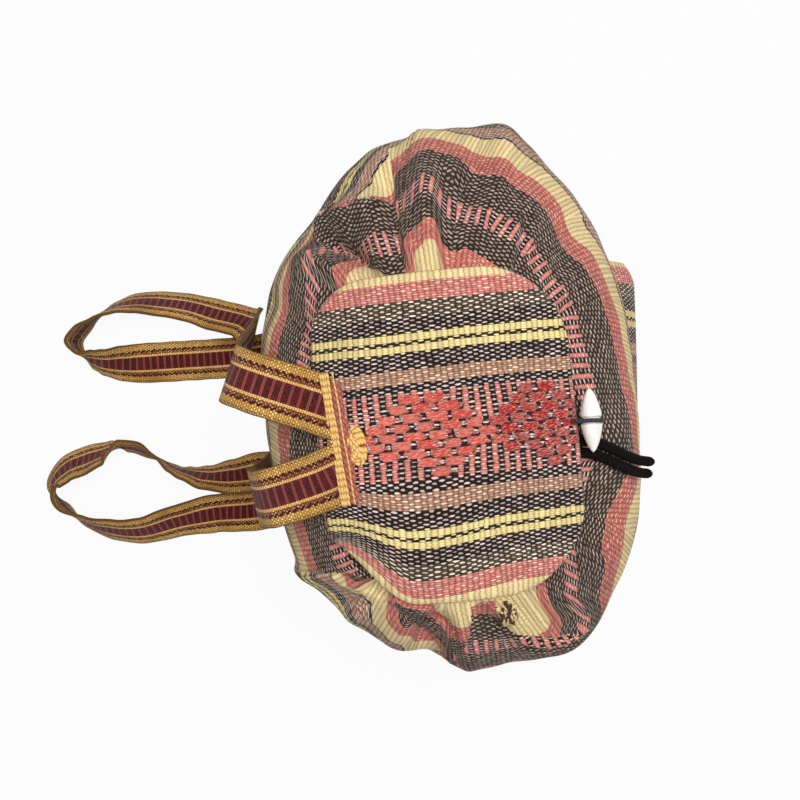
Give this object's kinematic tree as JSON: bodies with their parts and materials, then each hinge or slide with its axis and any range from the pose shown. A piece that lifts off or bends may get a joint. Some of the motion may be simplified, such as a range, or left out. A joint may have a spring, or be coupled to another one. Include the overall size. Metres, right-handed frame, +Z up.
{
  "type": "backpack",
  "caption": "Slouchy drawstring backpack of striped hand-woven cloth, with a brocade flap closed by a toggle, a front pocket and belt-woven straps looped out behind it.",
  "frame": {"origin": "middle of the base panel, on the surface that the bag stands on", "axes": "+Z up, +Y towards the back with the straps, -Y towards the front pocket, +X across the bag"},
  "size_m": [0.3486, 0.4721, 0.2529],
  "materials": {
    "striped_cloth": "heavy plain-woven cotton with stripes of dark olive, coral pink, cream, taupe and pale yellow",
    "brocade_cloth": "the same striped cotton with a brocade band of coral-red diamonds",
    "base_cloth": "plain dark olive cotton",
    "belt_webbing": "belt-woven cotton, maroon with gold edges and thin dark lines",
    "gold_trim": "gold-brown woven braid",
    "ivory_toggle": "smooth ivory white",
    "dark_cord": "thin dark waxed cord",
    "black_cord": "black braided cord"
  },
  "bodies": {
    "root": {"front_panel": "striped_cloth", "back_panel": "striped_cloth", "mouth_casing": "striped_cloth", "base_panel": "base_cloth", "base_band_back": "base_cloth", "base_band_front": "base_cloth", "front_pocket": "striped_cloth", "pocket_flap": "brocade_cloth", "top_flap": "brocade_cloth", "strap_right": "belt_webbing", "strap_left": "belt_webbing", "strap_anchor_band": "gold_trim", "anchor_tab": "gold_trim", "toggle": "ivory_toggle", "toggle_loop": "dark_cord", "drawstring_run": "black_cord", "drawstring_end_right": "black_cord", "drawstring_end_left": "black_cord"}
  },
  "joints": []
}
